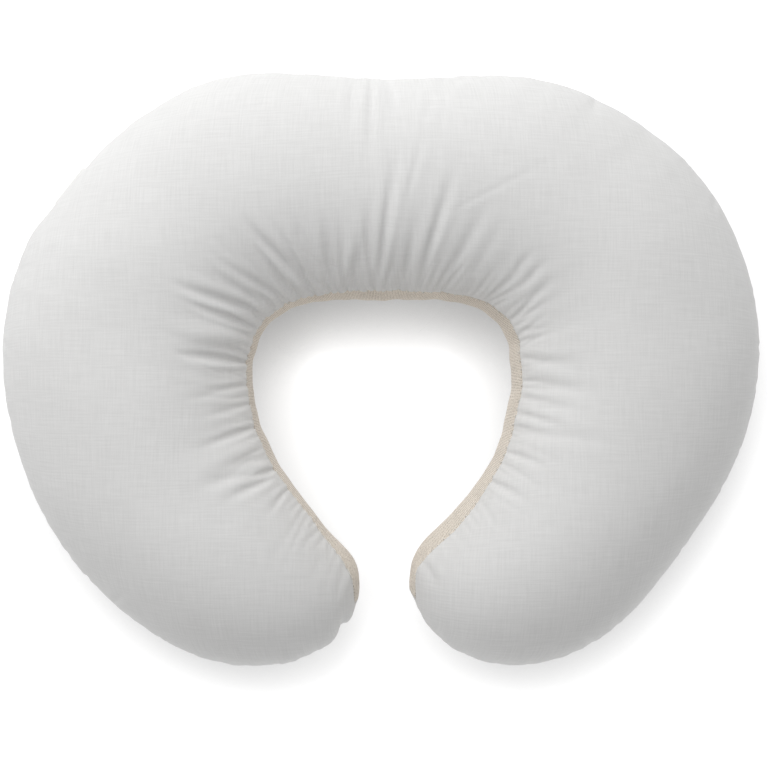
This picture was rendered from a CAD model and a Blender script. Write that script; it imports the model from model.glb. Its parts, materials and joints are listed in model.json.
"""Looks of the nursing pillow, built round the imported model.

Lengths are in metres and angles in radians, unless a comment says otherwise. The casing is made on
grids: the columns follow the ring from the right arm's tip over the back to the left arm's tip, and
the rows run round a section, from the outer seam over the top to the waist opening. The ring's size
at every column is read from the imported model, so every piece lies where the model's own skins do.
"""

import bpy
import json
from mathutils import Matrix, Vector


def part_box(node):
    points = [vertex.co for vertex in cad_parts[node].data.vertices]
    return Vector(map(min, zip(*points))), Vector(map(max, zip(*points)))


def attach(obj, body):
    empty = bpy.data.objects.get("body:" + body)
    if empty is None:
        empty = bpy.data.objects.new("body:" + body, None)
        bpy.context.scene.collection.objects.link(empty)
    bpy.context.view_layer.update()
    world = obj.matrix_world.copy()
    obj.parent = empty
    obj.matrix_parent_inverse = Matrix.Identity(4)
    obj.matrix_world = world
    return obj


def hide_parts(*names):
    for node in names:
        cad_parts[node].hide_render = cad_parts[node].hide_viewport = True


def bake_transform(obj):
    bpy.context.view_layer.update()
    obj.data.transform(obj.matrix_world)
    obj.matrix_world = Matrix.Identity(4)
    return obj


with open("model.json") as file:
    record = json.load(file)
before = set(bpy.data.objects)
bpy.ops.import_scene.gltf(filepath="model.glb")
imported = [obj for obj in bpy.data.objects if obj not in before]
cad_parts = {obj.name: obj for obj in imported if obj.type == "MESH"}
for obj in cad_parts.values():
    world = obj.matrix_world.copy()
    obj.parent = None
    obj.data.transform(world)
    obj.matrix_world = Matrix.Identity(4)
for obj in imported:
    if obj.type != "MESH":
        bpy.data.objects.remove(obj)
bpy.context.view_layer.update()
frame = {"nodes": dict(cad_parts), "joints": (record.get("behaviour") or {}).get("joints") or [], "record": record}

import json
import math

import bmesh
import bpy
import numpy as np
from mathutils import Vector
from mathutils.bvhtree import BVHTree

MM = 0.001

PANEL_COLUMNS, PANEL_ROWS = 800, 110
CLOTH_COLUMNS, CLOTH_ROWS = 480, 72  # the coarser grid that the cloth simulation works on
BAND_ROWS = 36
FORM_SAMPLES = 120

SEAM_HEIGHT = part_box("top_panel")[0][2]
LABEL_JOINT = next(joint for joint in frame["joints"] if joint["name"] == "label_flap")
MOUNTS = {mount["name"]: mount for mount in frame["record"]["mounts"]}
HUB = np.array(MOUNTS["waist_opening"]["pos_m"])[:2]  # the waist opening's middle, from above


# ---------------------------------------------------------------- the form, read from the model

RAY_LIFT = 0.05 * MM  # rays run just above the seams' height
FAR_OUT = 0.5  # farther from the hub than any part of the pillow
ROUND_STEPS = 4001  # steps along the ring in the table that the pieces are made from


def casing_tree():
    """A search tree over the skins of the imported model."""
    points, faces = [], []
    for node in ("top_panel", "bottom_panel", "stretch_band"):
        mesh = frame["nodes"][node].data
        start = len(points)
        points += [tuple(v.co) for v in mesh.vertices]
        faces += [[start + i for i in p.vertices] for p in mesh.polygons]
    return BVHTree.FromPolygons(points, faces)


def spoke(angle):
    return np.array([math.cos(angle), math.sin(angle)])


def waist_reach(tree, angle):
    """Distance from the hub to the waist edge along a spoke, or None beyond an arm's tip."""
    way = spoke(angle)
    hit = tree.ray_cast(Vector((*HUB, SEAM_HEIGHT + RAY_LIFT)), Vector((*way, 0)), FAR_OUT)
    return hit[3]


def outer_reach(tree, angle):
    """Distance from the hub to the outer seam along a spoke, or None beyond an arm's tip."""
    way = spoke(angle)
    start = HUB + way * FAR_OUT
    hit = tree.ray_cast(Vector((*start, SEAM_HEIGHT + RAY_LIFT)), Vector((*-way, 0)), FAR_OUT)
    return None if hit[3] is None else FAR_OUT - hit[3]


def arm_end(tree, solid, empty):
    """The angle of an arm's tip, between an angle where the spoke meets the arm and one where it
    meets nothing."""
    for _ in range(30):
        middle = (solid + empty) / 2
        if waist_reach(tree, middle) is None:
            empty = middle
        else:
            solid = middle
    return solid


def resample(values, count):
    """Rows of values, evenly spaced, resampled to another number of rows by a Catmull-Rom curve."""
    last = len(values) - 1
    positions = np.linspace(0, last, count)
    k = np.clip(np.floor(positions).astype(int), 0, last - 1)
    f = (positions - k).reshape(-1, *[1] * (values.ndim - 1))
    before, after = values[np.maximum(k - 1, 0)], values[np.minimum(k + 2, last)]
    here, there = values[k], values[k + 1]
    return 0.5 * (
        2 * here + (there - before) * f + (2 * before - 5 * here + 4 * there - after) * f**2
        + (3 * here - 3 * there + after - before) * f**3
    )


def lengths_along(line):
    """Distance of each point of a line from its first point, measured along it."""
    steps = np.linalg.norm(np.diff(line, axis=0), axis=1)
    return np.concatenate([[0], np.cumsum(steps)])


def uneven(along, size, height, seed):
    """Gentle unevenness along the ring, with waves about as long as a share of it."""
    rng = np.random.default_rng(seed)
    waves = 7
    total = sum(
        np.sin(2 * math.pi * (along / (size * rng.uniform(0.6, 1.8)) + rng.uniform()))
        for _ in range(waves)
    )
    return height * total / waves ** 0.5


def ease_in(values, low, high):
    """Rises smoothly from 0 at low to 1 at high."""
    share = np.clip((values - low) / (high - low), 0, 1)
    return share * share * (3 - 2 * share)


def gathers(where, away, mean, height, reach, rng):
    """Rounded gathers with sharp valleys between them. They start at a seam and fade away from it:
    where is along the seam, and away is the distance from it."""
    count = int(where.max() / mean * 1.6) + 8
    edges = np.concatenate([[0], np.cumsum(mean * rng.uniform(0.5, 1.5, count))])
    fold = np.clip(np.searchsorted(edges, where, side="right") - 1, 0, count - 1)
    share = (where - edges[fold]) / (edges[fold + 1] - edges[fold])
    shape = np.sin(math.pi * np.clip(share, 0, 1)) ** 0.8
    tall = rng.uniform(0.2, 1.0, count)[fold]
    long = rng.uniform(0.4, 1.3, count)[fold] * reach
    fade = np.clip(1 - away / long, 0, 1)
    return height * tall * shape * fade * fade * (3 - 2 * fade)


def bell(values, middle, width):
    """1 at the middle and 0 away from it."""
    return np.exp(-(((values - middle) / width) ** 2))


def at_label(angle):
    """1 where the label is sewn in and the cloth lies flat, and 0 away from it."""
    x, y, _ = LABEL_JOINT["pos_m"]
    return 1 - ease_in(np.abs(angle - math.atan2(y - HUB[1], x - HUB[0])), 0.07, 0.16)


def read_form():
    """Angle, waist reach, outer reach and rise of the ring, from tip to tip."""
    tree = casing_tree()
    first = arm_end(tree, math.radians(-60), math.radians(-90))
    last = arm_end(tree, math.radians(240), math.radians(270))
    closer_at_tips = np.cos(np.linspace(0, math.pi, FORM_SAMPLES + 1))
    turns = (first + last) / 2 - (last - first) / 2 * closer_at_tips
    turns[0], turns[-1] = first, last
    rows = []
    for angle in turns:
        near = waist_reach(tree, angle)
        far = outer_reach(tree, angle) or near
        above = HUB + spoke(angle) * (near + far) / 2
        hit = tree.ray_cast(Vector((*above, 0.3)), Vector((0, 0, -1)), 0.3)
        top = hit[0].z - SEAM_HEIGHT if hit[0] is not None else 0
        rows.append((angle, near, far, max(top, 0)))
    form = np.array(rows)
    tip = (form[[0, -1], 1] + form[[0, -1], 2]) / 2
    form[[0, -1], 1], form[[0, -1], 2], form[[0, -1], 3] = tip, tip, 0
    return resample(form, ROUND_STEPS)


# Sizes of the outline's small features.
WAIST_FULL = 3.2 * MM  # the waist is fuller on the right arm, 15 degrees round from the hub's +X
WAIST_FULL_LEFT = 1.8 * MM  # and along the lower half of the left arm
LABEL_SINK = 0.3 * MM  # the outer seam is drawn in where the label is sewn in
SCALLOP, SCALLOP_HEIGHT, SCALLOP_MEAN = 15 * MM, 3.2 * MM, 1.3 * MM  # scallops at the arms' ends
NOTCH = 6.5 * MM  # the outline is drawn in below the left arm's tip


def hand_sewn(form):
    """The form with an uneven outline and waist, and each step's share of the crest's length."""
    middle = (form[:, 1] + form[:, 2]) / 2
    crest = np.stack([middle * np.cos(form[:, 0]), middle * np.sin(form[:, 0]), form[:, 3]], 1)
    length = lengths_along(crest)
    along = length / length[-1]
    free = np.sin(math.pi * along)  # 0 at the tips
    degrees = np.degrees(form[:, 0])
    form[:, 1] += uneven(along, 0.04, 0.35 * MM, 3) * free
    form[:, 1] -= WAIST_FULL * bell(degrees, 15, 6)
    form[:, 1] -= WAIST_FULL_LEFT * ease_in(degrees, 190, 205) * (1 - ease_in(degrees, 238, 252))
    wavy = (uneven(along, 0.07, 0.8 * MM, 4) + uneven(along, 0.02, 0.35 * MM, 5)) * free
    label = at_label(form[:, 0])
    form[:, 2] += wavy * (1 - label) - LABEL_SINK * label
    ends = 0.7 * (1 - ease_in(along, 0.03, 0.13)) + 1.3 * ease_in(along, 0.87, 0.97)
    rng = np.random.default_rng(8)
    scallops = gathers(length, 0 * length, SCALLOP, SCALLOP_HEIGHT, 1, rng) - SCALLOP_MEAN
    notch = NOTCH * bell(degrees, 260.1, 1.4)
    form[:, 2] += (scallops * ends - notch) * ease_in(free, 0, 0.05)
    return form, along


FORM, FORM_ALONG = hand_sewn(read_form())


def ring(along):
    """The form's angle, waist reach, outer reach and rise, at shares of the crest's length."""
    return np.stack([np.interp(along, FORM_ALONG, FORM[:, k]) for k in range(4)], 1)


def casing_points(along, turn, inset=0.0):
    """Points of the smooth casing, or of a smaller form inside it. along has a value per column."""
    angle, near, far, rise = ring(along).T
    reach = (near + far) / 2 + np.maximum((far - near) / 2 - inset, 0) * np.cos(turn)
    x = HUB[0] + reach * np.cos(angle)
    y = HUB[1] + reach * np.sin(angle)
    z = SEAM_HEIGHT + np.maximum(rise - inset, 0) * np.sin(turn)
    return np.stack([x, y, z], 2)


# ---------------------------------------------------------------- grids

def lengths_down(points):
    """Distance of each row from the first row, measured along its column."""
    steps = np.linalg.norm(np.diff(points, axis=0), axis=2)
    return np.concatenate([np.zeros((1, points.shape[1])), np.cumsum(steps, 0)])


def grid_normals(points, outward=1):
    """Unit normals of a grid of points. They point out of the pillow where outward is 1 for a grid
    that starts at the outer seam and goes up, and -1 for one that goes down."""
    down, across = np.gradient(points, axis=0), np.gradient(points, axis=1)
    normal = np.cross(across, down) * outward
    size = np.linalg.norm(normal, axis=2, keepdims=True)
    return normal / np.maximum(size, 1e-12)


def resize_grid(values, rows, columns):
    """A grid resampled smoothly to other numbers of rows and columns."""
    return resample(resample(values, rows).transpose(1, 0, 2), columns).transpose(1, 0, 2)


def grid_object(name, points, uv=None, flip=False):
    """A mesh object from a grid of points, with an optional cloth coordinate for each point."""
    rows, columns = points.shape[:2]
    index = np.arange(rows * columns).reshape(rows, columns)
    corners = [index[:-1, :-1], index[1:, :-1], index[1:, 1:], index[:-1, 1:]]
    if flip:
        corners.reverse()
    faces = np.stack(corners, 2).reshape(-1, 4)
    mesh = bpy.data.meshes.new(name)
    mesh.from_pydata(points.reshape(-1, 3).tolist(), [], faces.tolist())
    if uv is not None:
        layer = mesh.uv_layers.new(name="cloth")
        layer.data.foreach_set("uv", uv.reshape(-1, 2)[faces.ravel()].astype(np.float32).ravel())
    weld(mesh)
    return mesh_object(name, mesh)


def weld(mesh):
    """Joins the points that lie on each other, as at an arm's tip."""
    touching = 0.001 * MM
    work = bmesh.new()
    work.from_mesh(mesh)
    bmesh.ops.remove_doubles(work, verts=work.verts, dist=touching)
    bmesh.ops.dissolve_degenerate(work, edges=work.edges, dist=touching)
    work.to_mesh(mesh)
    work.free()


def mesh_object(name, mesh):
    mesh.shade_smooth()
    made = bpy.data.objects.new(name, mesh)
    bpy.context.scene.collection.objects.link(made)
    return made


# ---------------------------------------------------------------- folds

def valley(side):
    """The section of a crease, from a valley of depth 1 to the raised cloth on both sides of it."""
    return np.exp(-(side**2)) - 0.4 * np.exp(-(((np.abs(side) - 1.9) / 1.1) ** 2))


def creases(where, away, count, depths, widths, lengths, rng):
    """How far thin creases lie below the cloth. They start at random places along a seam, lean a
    little, get wider and fade."""
    deep = np.zeros(away.shape)
    for _ in range(count):
        start, lean, bow = rng.uniform(0, where[-1]), rng.normal(0, 0.16), rng.normal(0, 1.6)
        depth, width, length = (rng.uniform(*span) for span in (depths, widths, lengths))
        begin = rng.uniform(-0.1, 0.35) * length
        near = np.abs(where - start) < 5 * width + 0.5 * length
        here = away[:, near]
        off_line = where[near] - start - lean * here - bow * here**2
        side = off_line / (width * (0.55 + here / length))
        share = (here - begin) / length
        fade = ease_in(share, 0, 0.2) * (1 - ease_in(share, 0.25, 1))
        deep[:, near] += depth * fade * valley(side)
    return deep


# The largest creases of the top panel, seen from above about the hub: angle and reach of one end,
# angle and reach of the other end, depth and width. Angles are in degrees and lengths in
# millimetres. They are deepest near the first end. A negative depth is a ridge.
LONG_CREASES = [
    (147, 118, 152, 168, 1.2, 4.0),
    (152, 112, 154, 157, 0.9, 3.0),
    (158, 112, 163, 158, -1.4, 8.0),
    (166, 103, 168, 144, 1.1, 3.0),
    (175, 99, 181, 137, 0.6, 3.0),
    (184, 100, 187, 130, 0.4, 3.0),
    (194, 98, 196, 136, 0.6, 3.0),
    (201, 100, 202, 150, -0.7, 6.0),
    (214, 98, 206, 145, 1.0, 3.6),
    (212, 100, 209, 136, -0.8, 4.5),
    (217, 104, 213, 132, 0.7, 3.2),
    (124, 100, 128, 156, 1.3, 3.6),
    (123, 96, 122, 134, 1.2, 3.0),
    (131, 106, 129, 150, 0.9, 3.6),
    (136, 106, 140, 146, 0.8, 3.4),
    (141, 110, 144, 150, 0.6, 4.0),
    (91.6, 232, 92.6, 166, 1.2, 3.0),
    (95, 229, 97, 186, 0.6, 3.4),
    (88.5, 229, 86, 196, 0.6, 3.6),
    (80.9, 200, 80, 224, 0.5, 3.4),
    (82, 150, 80.5, 196, 0.5, 3.0),
    (89.5, 100, 86, 180, 1.3, 3.6),
    (94, 98, 94, 140, 0.9, 4.0),
    (106, 90, 99, 120, -1.1, 4.0),
    (112, 92, 108, 130, 1.1, 3.4),
    (71.5, 108, 72, 178, 1.0, 3.8),
    (78, 96, 79, 140, 0.7, 4.0),
    (61, 112, 61, 166, 0.45, 5.0),
    (67, 147, 53, 216, 0.35, 2.4),
    (53, 112, 55, 160, 0.3, 4.5),
    (43, 134, 44, 152, 0.4, 3.4),
    (38, 134, 40, 156, 0.4, 3.4),
    (33, 130, 35, 152, 0.35, 3.6),
    (15, 108, 8, 147, 0.45, 4.0),
    (6, 106, 0.5, 157, 0.45, 4.5),
    (-1, 104, -4, 148, 0.4, 4.0),
    (-7, 101, -10, 142, 0.5, 3.4),
    (-14, 102, -11, 178, 0.55, 5.0),
    (-24, 102, -22, 134, 0.6, 4.0),
    (-38, 101, -35, 130, 0.6, 3.4),
    (-75, 126, -73, 146, 0.6, 3.2),
]


def long_creases(points):
    """How far the largest creases lie below the smooth casing."""
    x, y = points[..., 0] - HUB[0], points[..., 1] - HUB[1]
    deep = np.zeros(x.shape)
    for first_angle, first, last_angle, last, depth, width in LONG_CREASES:
        start = spoke(math.radians(first_angle)) * first * MM
        way = spoke(math.radians(last_angle)) * last * MM - start
        size = np.linalg.norm(way)
        way /= size
        share = ((x - start[0]) * way[0] + (y - start[1]) * way[1]) / size
        side = (x - start[0]) * -way[1] + (y - start[1]) * way[0]
        fade = ease_in(share, -0.25, 0.15) * (1 - ease_in(share, 0.35, 1.1))
        deep += depth * MM * fade * valley(side / (width * MM * (0.7 + 0.5 * np.clip(share, 0, 1))))
    return deep


# ---------------------------------------------------------------- cloth simulation

# Springs of the cloth: rows and columns that each spans, and stiffness. The last two keep the cloth
# from folding.
SPRINGS = [(0, 1, 1.0), (1, 0, 1.0), (1, 1, 0.35), (1, -1, 0.35), (0, 2, 0.3), (2, 0, 0.3)]
CLOTH_STEPS = 170
SPRING_SHARE = 0.22  # share of a spring's error that is mended in a step
KEPT_SPEED = 0.9  # share of its speed that a point keeps to the next step
SWELL = 0.0012 * MM  # how far the filling pushes the cloth out in a step
# The most that a point may leave the smooth form, inwards, outwards and sideways.
DEEPEST, HIGHEST, MOST_SLIDE = -2.5 * MM, 4.0 * MM, 2.5 * MM
TINY = 1e-9  # keeps a division from failing where a length is zero


def both_ends(grid, down, across):
    """The first and the second end of every spring that spans so many rows and columns."""
    rows, columns = grid.shape[:2]
    if across < 0:
        return grid[: rows - down, -across:], grid[down:, : columns + across]
    return grid[: rows - down, : columns - across], grid[down:, across:]


def settle(form, start, normals, wide, free):
    """The cloth simulation: a cloth that is wider than its form, by a factor wide along the seams,
    settles into folds while the filling pushes it out. It may move where free is 1, and not where
    free is 0."""
    tangents = np.gradient(form, axis=1)
    tangents /= np.maximum(np.linalg.norm(tangents, axis=2, keepdims=True), TINY)
    springs = []
    for down, across, stiffness in SPRINGS:
        first, second = both_ends(form, down, across)
        factor = sum(both_ends(wide, down, across)) / 2
        span = second - first
        along_seam = (span * both_ends(tangents, down, across)[0]).sum(2)
        rest = np.sqrt((span**2).sum(2) + (factor**2 - 1) * along_seam**2)
        springs.append((down, across, stiffness, rest))
    points, before = start.copy(), start.copy()
    for _ in range(CLOTH_STEPS):
        push = normals * SWELL
        for down, across, stiffness, rest in springs:
            first, second = both_ends(points, down, across)
            span = second - first
            length = np.sqrt((span**2).sum(2))
            share = 0.5 * SPRING_SHARE * stiffness * (1 - rest / np.maximum(length, TINY))
            first_push, second_push = both_ends(push, down, across)
            first_push += span * share[..., None]
            second_push -= span * share[..., None]
        speed = (points - before) * KEPT_SPEED
        before = points
        moved = points + (speed + push) * free[..., None] - form
        height = (moved * normals).sum(2)
        slide = moved - normals * height[..., None]
        size = np.sqrt((slide**2).sum(2))
        slide *= np.minimum(1, MOST_SLIDE / np.maximum(size, TINY))[..., None]
        points = form + slide + normals * np.clip(height, DEEPEST, HIGHEST)[..., None]
        points[..., 2] = np.maximum(points[..., 2], CLOTH_GAP)
    return points


# ---------------------------------------------------------------- the casing's seams

BAND_WIDTH = 54 * MM  # height of the stretch band between its two seams
# How much of the band shows from above, rolled up on the right and down on the left: angle about
# the hub in degrees, and width in millimetres.
BAND_SHOWN = np.array([
    (-81, 40), (-80.2, 24), (-79, 14), (-77.5, 11), (-69, 10.0), (-60, 9.8), (-49, 8.4), (-39, 7.2),
    (-30, 6.8), (-19, 7.0), (14, 7.5), (45, 7.2), (60, 6.3), (95, 7.2), (125, 5.6), (142, 4.8),
    (160, 4.4), (185, 4.4), (200, 5.0), (215, 4.6), (240, 4.6), (251, 6.8), (256, 9), (259, 12),
    (261.6, 16), (263, 24), (263.5, 40),
])
# How strongly the waist is gathered: angle about the hub in degrees, and strength, where 1 is full.
WAIST_PULL = np.array([
    (-80, 0.15), (-40, 0.22), (-10, 0.2), (10, 0.18), (25, 0.14), (40, 0.04), (55, 0.12),
    (70, 0.5), (90, 1.1), (115, 1.35), (140, 0.9), (165, 0.6), (190, 0.25), (215, 0.42),
    (235, 0.3), (262, 0.18),
])
TIP_SLIT = 1.4 * MM  # a slit between the top panel and the band, at the arms' tips
MOST_BAND_TURN = math.radians(62)  # most of a section's turn that the band takes up or down
TUCK_ROWS, TUCK_DEPTH = 3, 4 * MM  # rows and depth of the cloth that a seam turns in
ALLOWANCE, ALLOWANCE_ROWS = 9 * MM, 4  # the wider seam allowance at the outer seam
CLOTH_GAP = 0.4 * MM  # the cloth's distance from the floor and from the outer seam's middle
WAIST_EXTRA = 0.1  # how much wider than the form the cloth is cut along the waist


def band_edges(along):
    """The turns of the band's upper and lower edges for each column."""
    angle, near, far, rise = ring(along).T
    half = np.maximum((far - near) / 2, MM)
    most = 0.45 + 1.35 * ease_in(-half, -45 * MM, -18 * MM)  # it wraps round the arms' thin tips
    shown = np.minimum(np.interp(np.degrees(angle), *BAND_SHOWN.T) * MM, most * half)
    up = np.arccos(1 - shown / half)
    below = (BAND_WIDTH - rise * np.sin(up)) / np.maximum(rise, MM)
    down = np.arcsin(np.clip(below, 0, math.sin(MOST_BAND_TURN)))
    down += math.radians(60) * ease_in(-half, -28 * MM, -12 * MM)
    return math.pi - up, math.pi + down


def panel_turns(last, rows):
    """Turns of a panel's rows, from the outer seam to the band, closer together near the band."""
    share = 1 - (1 - np.linspace(0, 1, rows)) ** 1.25
    return share[:, None] * last[None, :]


def flat_pattern(along, from_outer):
    """Where each point of a panel lay in the flat cloth, with the straight grain along X."""
    angle, near, far, _ = ring(along).T
    reach = (near + far) / 2 + (from_outer[-1] / 2 - from_outer) * 0.92
    return np.stack([reach * np.cos(angle), reach * np.sin(angle)], 2)


def slow_waves(points, size, height, seed):
    """Broad hand-stuffed unevenness of the surface."""
    rng = np.random.default_rng(seed)
    waves = 14
    total = np.zeros(points.shape[:2])
    for _ in range(waves):
        way = rng.normal(size=3)
        way /= np.linalg.norm(way) * size * rng.uniform(0.7, 1.6)
        total += np.sin(2 * math.pi * (points @ way) + rng.uniform(0, 2 * math.pi))
    return height * total / waves ** 0.5


def tucked(points, normals, uv, end):
    """The grid with rows of cloth that turn in at its first (0) or last (-1) row, and its cloth
    coordinates."""
    depth = np.minimum(TUCK_DEPTH, 0.1 * lengths_down(points)[-1])  # less at the arms' thin tips
    inwards = np.arange(1, TUCK_ROWS + 1)[:, None, None] / TUCK_ROWS * depth[:, None]
    rows = points[end] - normals[end] * inwards
    along = uv[end] - uv[1 if end == 0 else -2]
    size = np.linalg.norm(along, axis=1, keepdims=True)
    cloth = uv[end] + along / np.maximum(size, TINY) * inwards
    if end == 0:
        return np.concatenate([rows[::-1], points]), np.concatenate([cloth[::-1], uv])
    return np.concatenate([points, rows]), np.concatenate([uv, cloth])


def with_allowance(points, uv, along, side):
    """The grid with the wide seam allowance turned in at its first row, the outer seam."""
    angle, near, far, _ = ring(along).T
    width = np.minimum(ALLOWANCE, 0.3 * (far - near))
    inwards = np.arange(1, ALLOWANCE_ROWS + 1)[:, None] / ALLOWANCE_ROWS * width
    rows = np.stack([
        points[0, :, 0] - inwards * np.cos(angle),
        points[0, :, 1] - inwards * np.sin(angle),
        np.full(inwards.shape, SEAM_HEIGHT + side * CLOTH_GAP),
    ], 2)
    cloth = uv[0] + inwards[..., None] * np.stack([np.cos(angle), np.sin(angle)], 1)
    return np.concatenate([rows[::-1], points]), np.concatenate([cloth[::-1], uv])


class Cloth:
    """A sewn piece of the casing: its points, normals and flat cloth coordinates."""

    def __init__(self, points, uv, outward):
        self.points, self.uv = points, uv
        self.normals = grid_normals(points, outward)
        self.from_first = lengths_down(points)

    def near_edge(self, column, distance, lift, end):
        """The point at a distance from the first (0) or last (-1) row of a column, lifted off the
        cloth."""
        away = np.abs(self.from_first[:, column] - self.from_first[end, column])
        row = int(np.argmin(np.abs(away - distance)))
        return self.points[row, column] + self.normals[row, column] * lift


def waist_pull(along):
    """How strongly the waist is gathered along the ring."""
    return np.interp(np.degrees(ring(along)[:, 0]), *WAIST_PULL.T)


WAIST_BUNCHING = 30 * MM  # how far from the waist the cloth is cut wider than the form
ROLL_REACH = 8 * MM  # how far from a seam the cloth bulges over it
LABEL_FLAT = 1.3 * MM  # how deep the cloth is pressed in behind the label


def rough_folds(side, seed, form, from_outer, pull, rng):
    """The folds that the cloth has before it settles, as distances off the smooth form."""
    from_band = from_outer[-1] - from_outer
    waist_line = lengths_along(form[-1])
    rough = gathers(waist_line, from_band, 12 * MM, 1.2 * MM, 45 * MM, rng) * pull
    rough += gathers(waist_line, from_band, 24 * MM, 1.6 * MM, 80 * MM, rng) * pull
    depths, widths, lengths = (0.3 * MM, 1.0 * MM), (1.2 * MM, 2.2 * MM), (16 * MM, 70 * MM)
    thin = creases(waist_line, from_band, 90, depths, widths, lengths, rng)
    rough -= thin * (0.25 + 0.75 * pull)
    waves = slow_waves(form, 0.11, 0.9 * MM, seed)
    rough += waves * ease_in(from_outer, 0, 0.05) * ease_in(from_band, 0, 0.03)
    if side > 0:
        rough -= long_creases(form)
    rough *= ease_in(from_band, 0, 3 * MM) * ease_in(from_outer, 0, 3 * MM)
    return rough


def fine_folds(side, points, from_outer, along, rng):
    """The finest gathers and creases, added after the cloth has settled."""
    from_band = from_outer[-1] - from_outer
    waist_line, outer_line = lengths_along(points[-1]), lengths_along(points[0])
    pull = waist_pull(along)
    ends = np.maximum(1 - ease_in(along, 0.0, 0.16), ease_in(along, 0.84, 1.0))  # 1 at the tips
    fine = gathers(waist_line, from_band, 2.4 * MM, 0.3 * MM, 7 * MM, rng)
    fine += gathers(waist_line, from_band, 5 * MM, 0.5 * MM, 14 * MM, rng) * pull
    depths, widths, lengths = (0.15 * MM, 0.5 * MM), (0.9 * MM, 1.8 * MM), (14 * MM, 70 * MM)
    fine -= creases(waist_line, from_band, 110, depths, widths, lengths, rng) * pull
    fine += gathers(outer_line, from_outer, 8 * MM, 0.4 * MM, 12 * MM, rng)
    fine += gathers(outer_line, from_outer, 19 * MM, 2.0 * MM, 34 * MM, rng) * (0.15 + ends)
    depths, widths, lengths = (0.3 * MM, 0.9 * MM), (2.0 * MM, 3.6 * MM), (14 * MM, 45 * MM)
    fine -= creases(outer_line, from_outer, 60, depths, widths, lengths, rng)
    if side > 0:
        fine -= long_creases(points) * 0.9
    fine += 1.2 * MM * np.exp(-from_band / ROLL_REACH) + 0.6 * MM * np.exp(-from_outer / ROLL_REACH)
    fine *= ease_in(from_band, 0, 2.2 * MM) * ease_in(from_outer, 0, 2.5 * MM)
    fine *= off_tips(along)
    return fine


def off_tips(along):
    """0 at the arms' tips, where the grid's columns meet in a point, and 1 away from them."""
    return ease_in(np.sin(math.pi * along), 0.02, 0.09)


def panel(side, seed):
    """A gathered casing panel: side is 1 for the top and -1 for the bottom. The cloth simulation
    makes its folds on a coarse grid. The finest pleats are added after it."""
    rng = np.random.default_rng(seed)
    along = np.linspace(0, 1, CLOTH_COLUMNS)
    upper, lower = band_edges(along)
    last = upper if side > 0 else 2 * math.pi - lower
    form = casing_points(along, side * panel_turns(last, CLOTH_ROWS))
    form[..., 2] = np.maximum(form[..., 2], CLOTH_GAP)
    from_outer = lengths_down(form)
    from_band = from_outer[-1] - from_outer
    normals = grid_normals(form, side)
    pull = waist_pull(along)
    free = np.ones(from_outer.shape) * off_tips(along)
    free[[0, -1]] = 0
    rough = rough_folds(side, seed, form, from_outer, pull, rng)
    bunched = np.clip(1 + uneven(along, 0.05, 0.45, seed + 1), 0.3, 1.8)
    wide = 1 + pull * bunched * WAIST_EXTRA * np.exp(-from_band / WAIST_BUNCHING)
    settled = settle(form, form + normals * (rough * free)[..., None], normals, wide, free)

    points = resize_grid(settled, PANEL_ROWS, PANEL_COLUMNS)
    smooth = resize_grid(form, PANEL_ROWS, PANEL_COLUMNS)
    along = np.linspace(0, 1, PANEL_COLUMNS)
    from_outer = lengths_down(smooth)
    fine = fine_folds(side, points, from_outer, along, rng)
    points = points + grid_normals(points, side) * fine[..., None]
    sink = LABEL_FLAT * ease_in(from_outer, 0, 4 * MM)
    sunk = smooth - grid_normals(smooth, side) * sink[..., None]
    near_label = at_label(ring(along)[:, 0]) * (1 - ease_in(from_outer, 8 * MM, 30 * MM))
    points = points + (sunk - points) * near_label[..., None]
    points[..., 2] = np.maximum(points[..., 2], CLOTH_GAP)
    return Cloth(points, flat_pattern(along, from_outer), side)


def band(seed):
    """The knitted band, drawn in a little between its two seams."""
    rng = np.random.default_rng(seed)
    along = np.linspace(0, 1, PANEL_COLUMNS)
    upper, lower = band_edges(along)
    _, near, far, _ = ring(along).T
    slit = TIP_SLIT * (1 - ease_in(np.sin(math.pi * along), 0.07, 0.12))
    upper = upper + slit / np.maximum(far - near, 9 * MM) * 2
    turn = upper + (lower - upper) * np.linspace(0, 1, BAND_ROWS)[:, None]
    points = casing_points(along, turn)
    from_top = lengths_down(points)
    from_seam = np.minimum(from_top, from_top[-1] - from_top)
    line = lengths_along(points[BAND_ROWS // 2])
    free = ease_in(np.sin(math.pi * along), 0.0, 0.03)
    lift = gathers(line, from_seam, 3.6 * MM, 0.5 * MM, 12 * MM, rng)
    lift += slow_waves(points, 0.05, 0.25 * MM, seed) - 0.8 * MM * ease_in(from_seam, 0, 6 * MM)
    points = points + grid_normals(points) * (lift * free)[..., None]
    return Cloth(points, np.stack([np.broadcast_to(line, from_top.shape), from_top], 2), 1)


# ---------------------------------------------------------------- threads

THREAD_RADIUS = 0.3 * MM
SEAM_STITCH, SEAM_INSET = 7 * MM, 3.8 * MM  # a stitch of the outer seam, and its distance inwards
STITCH_TURNS = np.array([0.0, 0.12, 0.5, 0.88])  # shares of a stitch: it dips at the first
BAND_STITCH, BAND_REACH = 6 * MM, 2 * MM  # a stitch along the band's seams, and its reach over them
CLOSING_STITCH, CLOSING_HALF_WIDTH = 4.5 * MM, 65 * MM
FIRST_STITCH, LAST_STITCH = 17, PANEL_COLUMNS - 21  # columns of the band's seams near the tips


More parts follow.
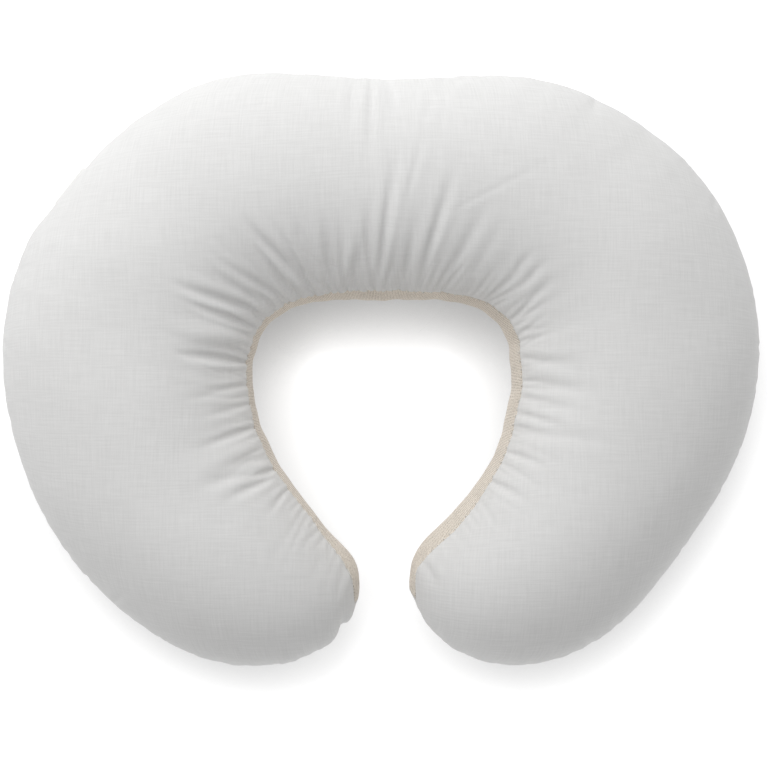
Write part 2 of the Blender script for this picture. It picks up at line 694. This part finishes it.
def thread_object(name, path):
    """A sewing thread along a path of points, as a mesh."""
    curve = bpy.data.curves.new(name, "CURVE")
    curve.dimensions = "3D"
    curve.bevel_depth, curve.bevel_resolution, curve.resolution_u = THREAD_RADIUS, 1, 3
    curve.use_fill_caps = True
    spline = curve.splines.new("NURBS")
    spline.points.add(len(path) - 1)
    weighted = np.column_stack([path, np.ones(len(path))])
    spline.points.foreach_set("co", weighted.astype(np.float32).ravel())
    spline.order_u = 3
    spline.use_endpoint_u = True
    line = bpy.data.objects.new(name + "_line", curve)
    bpy.context.scene.collection.objects.link(line)
    bpy.context.view_layer.update()
    mesh = bpy.data.meshes.new_from_object(line)
    mesh.name = name
    bpy.data.objects.remove(line)
    return mesh_object(name, mesh)


def lockstitch_path(side):
    """The outer seam's thread on one side of the allowances. It lies on the cloth and dips between
    stitches."""
    dense = np.linspace(0.012, 0.988, 2000)
    angle, near, far, _ = ring(dense).T
    reach = far - np.minimum(SEAM_INSET, 0.25 * (far - near))
    line = np.stack([HUB[0] + reach * np.cos(angle), HUB[1] + reach * np.sin(angle)], 1)
    length = lengths_along(line)
    stitches = round(length[-1] / SEAM_STITCH)
    places = (np.arange(stitches)[:, None] + STITCH_TURNS).ravel() / stitches
    height = np.tile([0.0, 1.0, 1.0, 1.0], stitches) * (CLOTH_GAP + 1.1 * THREAD_RADIUS)
    x, y = (np.interp(places * length[-1], length, line[:, k]) for k in range(2))
    return np.stack([x, y, SEAM_HEIGHT + side * height], 1)


def whip_path(first, first_end, second, second_end, columns, lean):
    """A thread that is whipped over the seam between two pieces of cloth, at the given columns."""
    path = []
    above, below = THREAD_RADIUS * 0.8, -1.2 * MM
    for column in columns:
        ahead = min(column + lean, PANEL_COLUMNS - 1)
        down = first.near_edge(column, BAND_REACH, above, first_end)
        up = second.near_edge(ahead, BAND_REACH, above, second_end)
        over = (down + up) / 2 + first.normals[first_end, column] * 0.3 * MM
        path += [first.near_edge(column, BAND_REACH * 0.8, below, first_end), down, over, up]
        path.append(second.near_edge(ahead, BAND_REACH * 0.8, below, second_end))
    return np.array(path)


def stitch_columns(cloth, end, pitch):
    """The grid's columns at which a seam along the first (0) or last (-1) row has a stitch."""
    line = lengths_along(cloth.points[end])
    columns = np.searchsorted(line, np.arange(pitch / 2, line[-1], pitch))
    return [column for column in columns if FIRST_STITCH <= column <= LAST_STITCH]


# ---------------------------------------------------------------- filling and label

CORE_COLUMNS, CORE_ROWS = 260, 96
CORE_INSET = 7 * MM
LABEL_WIDTH, LABEL_DROP = 34 * MM, 46 * MM
LABEL_FOLD = 0.3 * MM  # radius of its bottom fold
LABEL_STAND = 0.5 * MM  # how far its middle stands off the seam


def fibre_grid():
    """The filling as one soft mass: a closed form inside the casing, lumpy as fibre is."""
    along = np.linspace(0.035, 0.965, CORE_COLUMNS)
    turn = np.linspace(0, 2 * math.pi, CORE_ROWS)[:, None] + np.zeros(CORE_COLUMNS)
    points = casing_points(along, turn, CORE_INSET)
    middle = points[:-1].mean(0)
    from_end = np.minimum(np.arange(CORE_COLUMNS), np.arange(CORE_COLUMNS)[::-1])
    rounding = np.sqrt(np.clip(from_end / 7, 0, 1))  # its ends close over 7 columns
    points = middle + (points - middle) * rounding[:, None]
    lumps = slow_waves(points, 0.05, 0.9 * MM, 51) + slow_waves(points, 0.014, 0.35 * MM, 52)
    points = points - grid_normals(points, -1) * (lumps * ease_in(rounding, 0, 1))[..., None]
    points[-1] = points[0]
    points[..., 2] = np.maximum(points[..., 2], 1.5 * MM)
    return points


def label_grid():
    """The label: a ribbon folded in half, sewn in at the top, with its fold at the bottom."""
    seam, sideways = np.array(LABEL_JOINT["pos_m"]), np.array(LABEL_JOINT["axis"])
    outwards = np.cross([0, 0, 1], sideways)
    straight = LABEL_DROP - LABEL_FOLD
    flat = np.linspace(0, 2 * straight + math.pi * LABEL_FOLD, 81)
    turn = np.clip((flat - straight) / LABEL_FOLD, 0, math.pi)
    down = np.where(flat < straight, flat, straight + LABEL_FOLD * np.sin(turn))
    down = np.where(turn >= math.pi, flat[-1] - flat, down)
    curl = 0.9 * MM * np.sin(math.pi * down / LABEL_DROP) ** 2
    across = np.linspace(-0.5, 0.5, 29)[None, :] * LABEL_WIDTH
    ripple = 0.25 * MM * np.sin(across / LABEL_WIDTH * 5.0 + 1.0) * (down[:, None] / LABEL_DROP)
    place = (seam + across.T * sideways)[:, :2] - HUB
    reach = np.interp(np.arctan2(place[:, 1], place[:, 0]), FORM[:, 0], FORM[:, 2])
    inset = (reach / np.linalg.norm(place, axis=1) * place.T).T + HUB - seam[:2]
    root = np.exp(-down / (0.6 * MM))[:, None]  # its two ends close up and bend into the seam
    bend = LABEL_STAND - 0.05 * MM - inset @ outwards[:2]
    leaf = (LABEL_FOLD * np.cos(turn) + curl)[:, None]
    out = LABEL_STAND + leaf * (1 - 0.9 * root) - bend * root + ripple
    points = seam + across[..., None] * sideways + out[..., None] * outwards
    points = points - down[:, None, None] * np.array([0, 0, 1.0])
    return points, np.stack(np.broadcast_arrays(across, flat[:, None]), 2)


# ---------------------------------------------------------------- materials

YARN, RIB = 0.85 * MM, 1.1 * MM  # pitch of the cotton's yarns and of the knit's ribs
SATIN = 0.45 * MM  # pitch of the ribbon's floating threads
COTTON_DARK, COTTON_LIGHT = (0.62, 0.618, 0.61), (0.79, 0.788, 0.782)
KNIT_DARK, KNIT_LIGHT = (0.37, 0.31, 0.235), (0.97, 0.895, 0.8)
THREAD_DARK, THREAD_LIGHT = (0.7, 0.68, 0.62), (0.86, 0.85, 0.81)
FIBRE_DARK, FIBRE_LIGHT = (0.7, 0.7, 0.69), (0.86, 0.86, 0.85)
RIBBON_DARK, RIBBON_LIGHT = (0.76, 0.76, 0.74), (0.86, 0.86, 0.85)


class Nodes:
    """A short way to write a material's nodes."""

    def __init__(self, name):
        self.material = bpy.data.materials.new(name)
        self.material.use_nodes = True
        self.tree = self.material.node_tree
        self.shader = self.tree.nodes["Principled BSDF"]

    def give(self, socket, value):
        """Links an input to another node's output, or sets its value."""
        if isinstance(value, bpy.types.NodeSocket):
            self.tree.links.new(value, socket)
        else:
            socket.default_value = value

    def add(self, kind, **inputs):
        node = self.tree.nodes.new("ShaderNode" + kind)
        for name, value in inputs.items():
            self.give(node.inputs[name], value)
        return node

    def math(self, operation, a, b):
        node = self.tree.nodes.new("ShaderNodeMath")
        node.operation = operation
        self.give(node.inputs[0], a)
        self.give(node.inputs[1], b)
        return node.outputs[0]

    def place(self):
        """The place in the piece, for a material without flat cloth coordinates."""
        return self.tree.nodes.new("ShaderNodeTexCoord").outputs["Object"]

    def cloth(self, x=1.0, y=1.0):
        """The flat cloth's coordinates, each stretched by a factor."""
        where = self.tree.nodes.new("ShaderNodeUVMap")
        where.uv_map = "cloth"
        scale = self.add("Mapping", Vector=where.outputs[0], Scale=(x, y, 1))
        return scale.outputs[0]

    def noise(self, vector, scale=1.0, detail=2.0, rough=0.5):
        inputs = {"Vector": vector, "Scale": scale, "Detail": detail, "Roughness": rough}
        return self.add("TexNoise", **inputs).outputs["Fac"]

    def wave(self, vector, direction, pitch, distortion=0.0):
        """Ribs across a direction, a pitch in metres apart."""
        scale = 2 * math.pi / (20 * pitch)
        node = self.add("TexWave", Vector=vector, Scale=scale, Distortion=distortion)
        node.bands_direction = direction
        return node.outputs["Fac"]

    def mix_color(self, factor, a, b):
        node = self.tree.nodes.new("ShaderNodeMix")
        node.data_type = "RGBA"
        self.give(node.inputs["Factor"], factor)
        self.give(node.inputs[6], (*a, 1))
        self.give(node.inputs[7], (*b, 1))
        return node.outputs[2]

    def link(self, socket, name):
        self.tree.links.new(socket, self.shader.inputs[name])

    def bump(self, height, distance, strength=1.0):
        node = self.add("Bump", Height=height, Distance=distance, Strength=strength)
        self.link(node.outputs[0], "Normal")

    def spread(self, value, low, high):
        """A value from 0 to 1 mapped to a range."""
        return self.math("ADD", self.math("MULTIPLY", value, high - low), low)

    def finish(self, slot_values):
        """Sets the uniform values straight on the shader."""
        for name, value in slot_values.items():
            self.shader.inputs[name].default_value = value
        return self.material


def woven_cotton():
    """White plain-woven cotton with uneven, slightly thick and thin yarns."""
    m = Nodes("woven_cotton")
    warp = m.noise(m.cloth(900, 42), detail=3, rough=0.6)
    weft = m.noise(m.cloth(42, 900), detail=3, rough=0.6)
    slubs = m.math("ADD", warp, weft)
    patches = m.noise(m.cloth(14, 14), detail=2)
    over = m.math("SUBTRACT", m.wave(m.cloth(), "X", YARN), 0.5)
    under = m.math("SUBTRACT", m.wave(m.cloth(), "Y", YARN), 0.5)
    weave = m.math("MULTIPLY", over, under)
    light = m.math("ADD", m.math("MULTIPLY", slubs, 0.5), m.math("MULTIPLY", patches, 0.15))
    tone = m.mix_color(m.spread(light, -0.1, 1.4), COTTON_DARK, COTTON_LIGHT)
    m.link(tone, "Base Color")
    m.link(m.spread(slubs, 0.82, 0.92), "Roughness")
    m.bump(m.math("ADD", m.math("MULTIPLY", slubs, 0.6), weave), 0.12 * MM, 0.6)
    return m.finish({"Sheen Weight": 0.02, "Sheen Roughness": 0.6, "Specular IOR Level": 0.12})


def heather_knit():
    """Tan heathered knit with fine ribs across the band."""
    m = Nodes("heather_knit")
    ribs = m.wave(m.cloth(), "X", RIB, 0.6)
    loops = m.wave(m.cloth(), "Y", RIB * 0.7)
    flecks = m.noise(m.cloth(900, 520), detail=3, rough=0.75)
    broad = m.noise(m.cloth(60, 60), detail=2)
    mixed = m.math("ADD", m.math("MULTIPLY", flecks, 0.8), m.math("MULTIPLY", broad, 0.12))
    mixed = m.math("ADD", mixed, m.math("MULTIPLY", ribs, 0.24))
    tone = m.mix_color(m.spread(mixed, -0.8, 1.8), KNIT_DARK, KNIT_LIGHT)
    m.link(tone, "Base Color")
    m.link(m.spread(ribs, 0.85, 0.95), "Roughness")
    m.bump(m.math("ADD", ribs, m.math("MULTIPLY", loops, 0.4)), 0.3 * MM, 0.8)
    return m.finish({"Sheen Weight": 0.25, "Specular IOR Level": 0.2})


def spun_thread():
    """Off-white spun thread with a fine twist."""
    m = Nodes("spun_thread")
    where = m.add("Mapping", Vector=m.place(), Scale=(1800, 1800, 2600)).outputs[0]
    strands = m.noise(where, detail=2)
    tone = m.mix_color(m.spread(strands, 0.2, 0.8), THREAD_DARK, THREAD_LIGHT)
    m.link(tone, "Base Color")
    m.link(m.spread(strands, 0.55, 0.75), "Roughness")
    m.bump(strands, 0.1 * MM, 0.7)
    return m.finish({"Sheen Weight": 0.15})


def loose_fibre():
    """White polyester fibre in clumps of fine tangled hairs."""
    m = Nodes("loose_fibre")
    where = m.place()
    clumps = m.noise(where, 60, 4, 0.6)
    hairs = m.add("TexNoise", Vector=where, Scale=900.0, Detail=4.0, Distortion=2.5).outputs["Fac"]
    tone = m.mix_color(m.spread(clumps, 0.1, 1.0), FIBRE_DARK, FIBRE_LIGHT)
    m.link(tone, "Base Color")
    m.link(m.spread(hairs, 0.85, 1.0), "Roughness")
    m.bump(m.math("ADD", m.math("MULTIPLY", clumps, 2.0), hairs), 0.8 * MM, 0.9)
    return m.finish({"Sheen Weight": 0.4, "Specular IOR Level": 0.15})


def satin_ribbon():
    """Blank white satin ribbon: fine threads across it, and a soft gloss along them."""
    m = Nodes("satin_ribbon")
    floats = m.wave(m.cloth(), "Y", SATIN, 0.4)
    uneven_floats = m.noise(m.cloth(120, 2600), detail=2)
    tone = m.mix_color(m.spread(uneven_floats, 0.1, 0.9), RIBBON_DARK, RIBBON_LIGHT)
    m.link(tone, "Base Color")
    m.link(m.spread(uneven_floats, 0.3, 0.5), "Roughness")
    m.bump(floats, 0.06 * MM, 0.6)
    return m.finish({"Sheen Weight": 0.1, "Specular IOR Level": 0.5})


# ---------------------------------------------------------------- pieces


def bending(piece, material, slot, *nodes):
    """Gives a one-piece soft part its material, and lets it bend with the back."""
    piece.data.materials.append(material)
    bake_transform(piece)
    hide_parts(*nodes)


def make_casing(top, bottom, middle):
    """The two gathered panels and the band, with the cloth that their seams turn in."""
    along = np.linspace(0, 1, PANEL_COLUMNS)
    cotton, knit = woven_cotton(), heather_knit()
    panels = (("casing_top", top, 1, "top_panel"), ("casing_bottom", bottom, -1, "bottom_panel"))
    for name, cloth, side, node in panels:
        points, uv = tucked(cloth.points, cloth.normals, cloth.uv, -1)
        points, uv = with_allowance(points, uv, along, side)
        piece = grid_object(name, points, uv, flip=side > 0)
        bending(piece, cotton, "casing_fabric", node)
    points, uv = tucked(middle.points, middle.normals, middle.uv, 0)
    normals = np.concatenate([middle.normals[:1]] * TUCK_ROWS + [middle.normals])
    points, uv = tucked(points, normals, uv, -1)
    piece = grid_object("waist_band", points, uv, flip=True)
    bending(piece, knit, "band_knit", "stretch_band")


def at_filling_hole(point):
    return point[1] > 0 and abs(point[0]) < CLOSING_HALF_WIDTH


def make_threads(top, bottom, middle):
    """The threads of the outer seam, of the band's two seams and of the closed filling hole."""
    upper = stitch_columns(middle, 0, BAND_STITCH)
    lower = stitch_columns(middle, -1, BAND_STITCH)
    closing = stitch_columns(top, 0, CLOSING_STITCH)
    closing = [column for column in closing if at_filling_hole(top.points[0, column])]
    thread = spun_thread()
    paths = {
        "outer_seam_needle_thread": lockstitch_path(1),
        "outer_seam_bobbin_thread": lockstitch_path(-1),
        "band_upper_thread": whip_path(middle, 0, top, -1, upper, 2),
        "band_lower_thread": whip_path(middle, -1, bottom, -1, lower, 2),
        "closing_thread": whip_path(bottom, 0, top, 0, closing, 1),
    }
    for node, path in paths.items():
        piece = thread_object(node.replace("thread", "stitching"), path)
        bending(piece, thread, "sewing_thread", node)


def make_filling():
    """The fibre inside the casing."""
    piece = grid_object("fibre_core", fibre_grid())
    bending(piece, loose_fibre(), "fibre_fill", "fill_left", "fill_right")


def make_label():
    """The label, which swings on its sewn edge."""
    points, uv = label_grid()
    piece = grid_object("ribbon_label", points, uv)
    piece.data.materials.append(satin_ribbon())
    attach(piece, "label")
    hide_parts("care_label")


top_cloth, bottom_cloth, band_cloth = panel(1, 11), panel(-1, 23), band(37)
make_casing(top_cloth, bottom_cloth, band_cloth)
make_threads(top_cloth, bottom_cloth, band_cloth)
make_filling()
make_label()


# ---------------------------------------------------------------- floor, light and camera

FLOOR_HALF = 60  # half the studio floor's side, in metres, so that its edge is far away
FLOOR_WHITE, FLOOR_GLOW = 0.42, 0.92  # the floor's own colour, and its backlight
FLOOR_SHADE = 61 * MM  # the backlight is blocked by what lies within this distance,
SHADE_WAY = {"X": -0.1, "Y": 0.56, "Z": 0.82}  # and most by what lies this way
WORLD_LIGHT = 0.41
KEY_PLACE, KEY_SIZE, KEY_POWER = (-0.5, 1.16, 1.56), 2.0, 28
CAMERA_RISE, CAMERA_LENS, CAMERA_SENSOR = 1.6, 100.5, 36  # metres over the seams, millimetres
CAMERA_X, CAMERA_Y = 2.6 * MM, -10.2 * MM


def make_floor():
    """A plain pale floor, lit from below but for a soft shade close round the pillow."""
    mesh = bpy.data.meshes.new("floor")
    corners = [(-1, -1), (1, -1), (1, 1), (-1, 1)]
    mesh.from_pydata([(x * FLOOR_HALF, y * FLOOR_HALF, 0) for x, y in corners], [], [(0, 1, 2, 3)])
    floor = bpy.data.objects.new("floor", mesh)
    bpy.context.scene.collection.objects.link(floor)
    m = Nodes("floor_white")
    m.shader.inputs["Base Color"].default_value = (FLOOR_WHITE, FLOOR_WHITE, FLOOR_WHITE, 1)
    m.shader.inputs["Roughness"].default_value = 0.9
    m.shader.inputs["Specular IOR Level"].default_value = 0.0
    m.shader.inputs["Emission Color"].default_value = (1, 1, 1, 1)
    towards = m.add("CombineXYZ", **SHADE_WAY).outputs[0]
    open_above = m.add("AmbientOcclusion", Distance=FLOOR_SHADE, Normal=towards).outputs["AO"]
    m.link(m.math("MULTIPLY", open_above, FLOOR_GLOW), "Emission Strength")
    mesh.materials.append(m.material)


def make_key_light():
    """A large soft lamp behind the pillow, a little to the left."""
    data = bpy.data.lights.new("key", "AREA")
    data.shape, data.size, data.energy = "DISK", KEY_SIZE, KEY_POWER
    light = bpy.data.objects.new("key", data)
    light.location = KEY_PLACE
    light.rotation_euler = (-Vector(KEY_PLACE)).to_track_quat("-Z", "Y").to_euler()
    bpy.context.scene.collection.objects.link(light)


def make_camera():
    """The camera looks straight down from above the pillow."""
    data = bpy.data.cameras.new("camera")
    data.sensor_width, data.lens = CAMERA_SENSOR, CAMERA_LENS
    data.clip_end = 100
    camera = bpy.data.objects.new("camera", data)
    camera.location = (CAMERA_X, CAMERA_Y, SEAM_HEIGHT + CAMERA_RISE)
    bpy.context.scene.collection.objects.link(camera)
    bpy.context.scene.camera = camera


def make_world():
    """Even white light from all round."""
    world = bpy.data.worlds.new("studio")
    world.use_nodes = True
    background = world.node_tree.nodes["Background"]
    background.inputs[0].default_value = (1, 1, 1, 1)
    background.inputs[1].default_value = WORLD_LIGHT
    bpy.context.scene.world = world


make_floor()
make_world()
make_key_light()
make_camera()
bpy.context.scene.view_settings.view_transform = "Standard"
